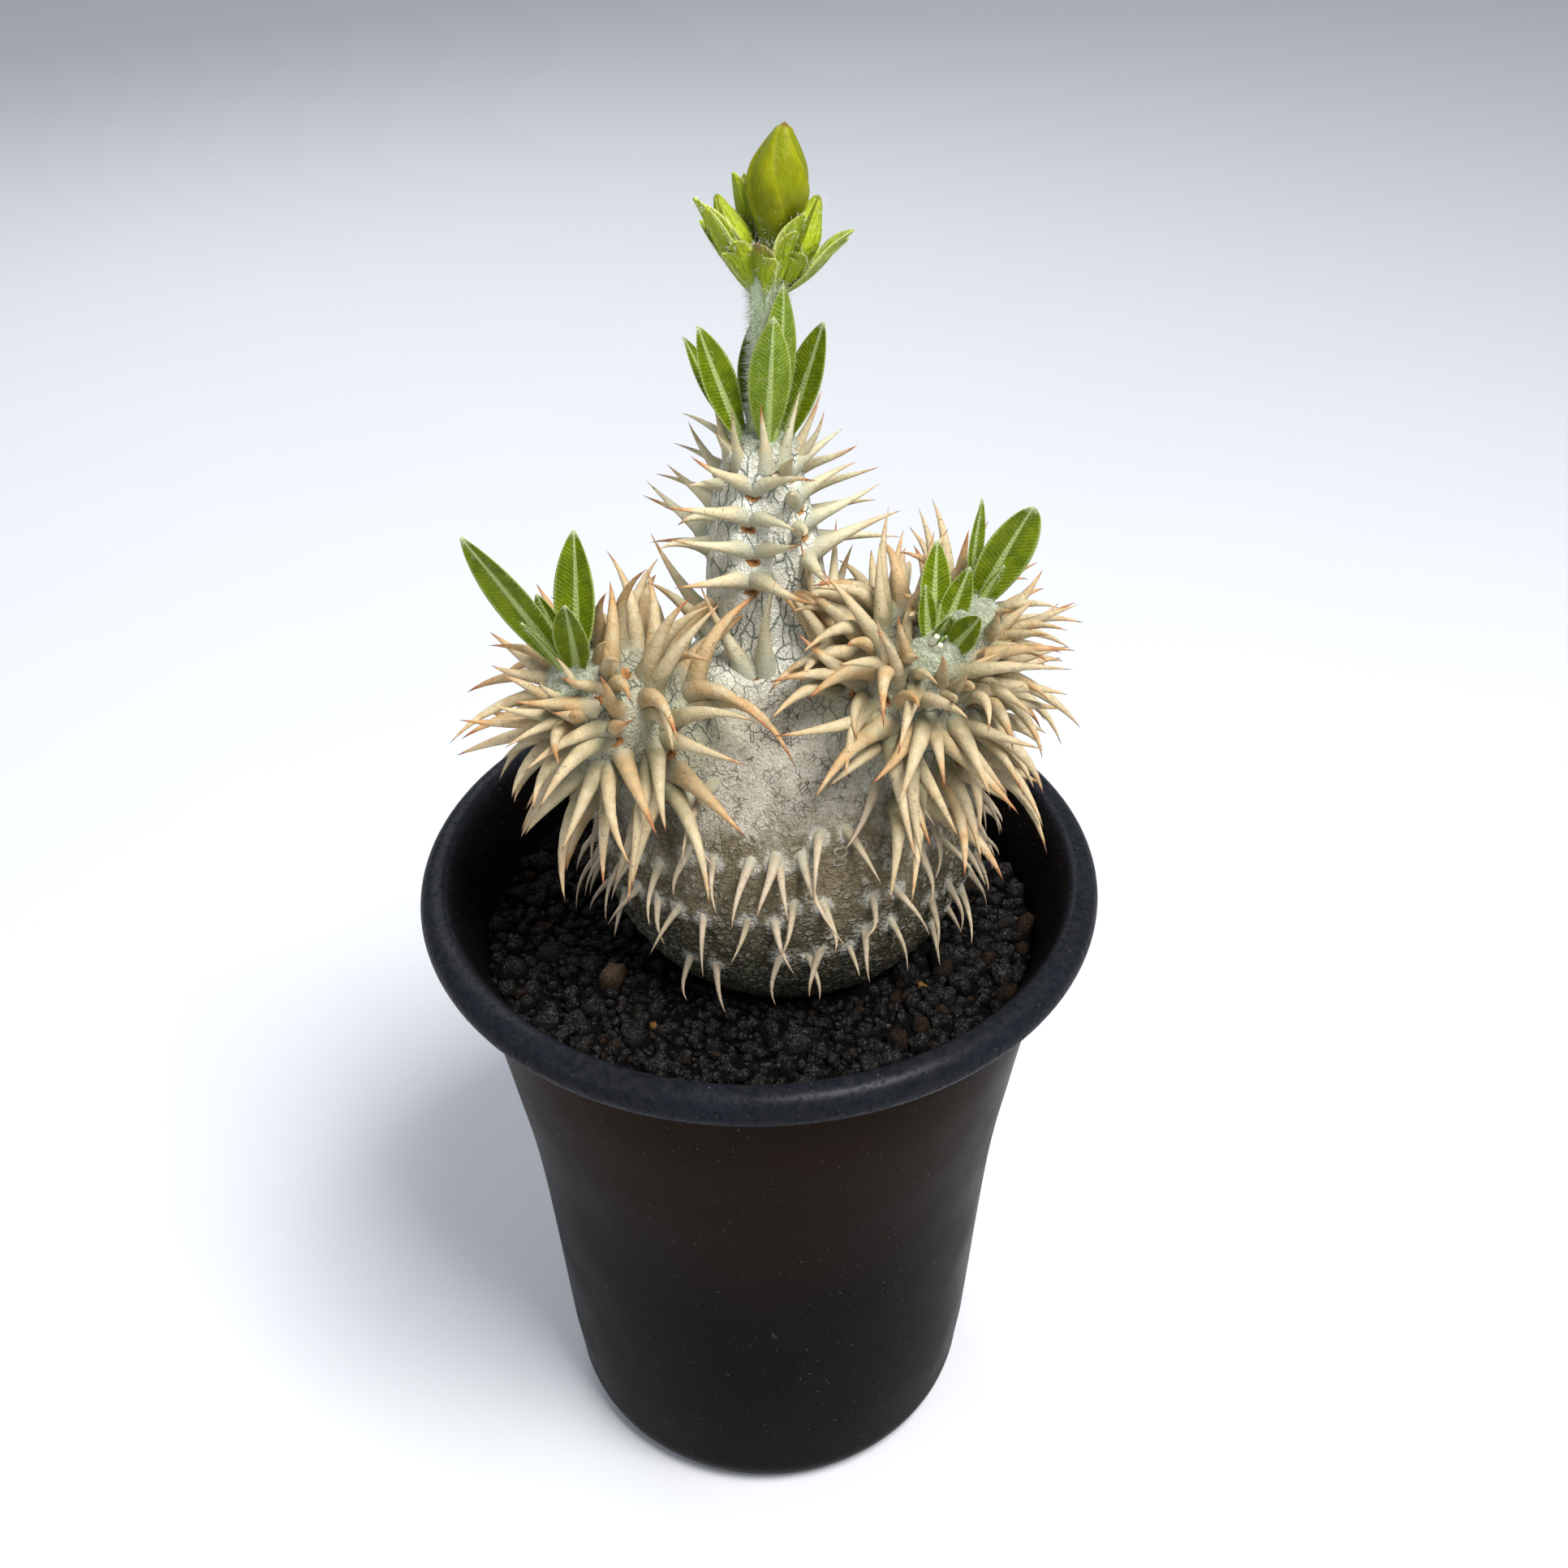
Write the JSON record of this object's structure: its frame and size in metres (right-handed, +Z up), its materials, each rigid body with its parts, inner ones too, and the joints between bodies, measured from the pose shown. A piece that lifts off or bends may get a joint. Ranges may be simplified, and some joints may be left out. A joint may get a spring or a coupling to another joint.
{
  "type": "potted pachypodium enigmaticum",
  "caption": "Spiny bottle-shaped caudex plant with leaf rosettes and a budding flower stalk in a round black plastic pot of dark grit.",
  "frame": {"origin": "centre of the pot's foot, on the surface that it stands on", "axes": "+Z up, -Y towards the front of the plant"},
  "size_m": [0.105, 0.105, 0.2256],
  "materials": {
    "pot_plastic": "satin black moulded plastic with fine grain on the rolled rim",
    "soil": "dark granular volcanic grit",
    "bark": "pale cracked bark with cream and tan spines",
    "leaf": "soft green leaf with pale hairy midrib",
    "stalk": "pale green with white hairs",
    "bract": "bright green, finely hairy",
    "bud": "yellow-green petals in twisted folds"
  },
  "bodies": {
    "root": {"pot": "pot_plastic", "soil": "soil", "caudex": "bark", "leaf_tuft_centre": "leaf", "leaf_tuft_left": "leaf", "leaf_tuft_right_front": "leaf", "leaf_tuft_right_back": "leaf", "flower_stalk": "stalk", "bract_cluster_left": "bract", "bract_cluster_right": "bract", "bract_cluster_back": "bract", "bract_pair_front": "bract", "bract_back": "bract", "flower_bud": "bud"}
  },
  "joints": []
}
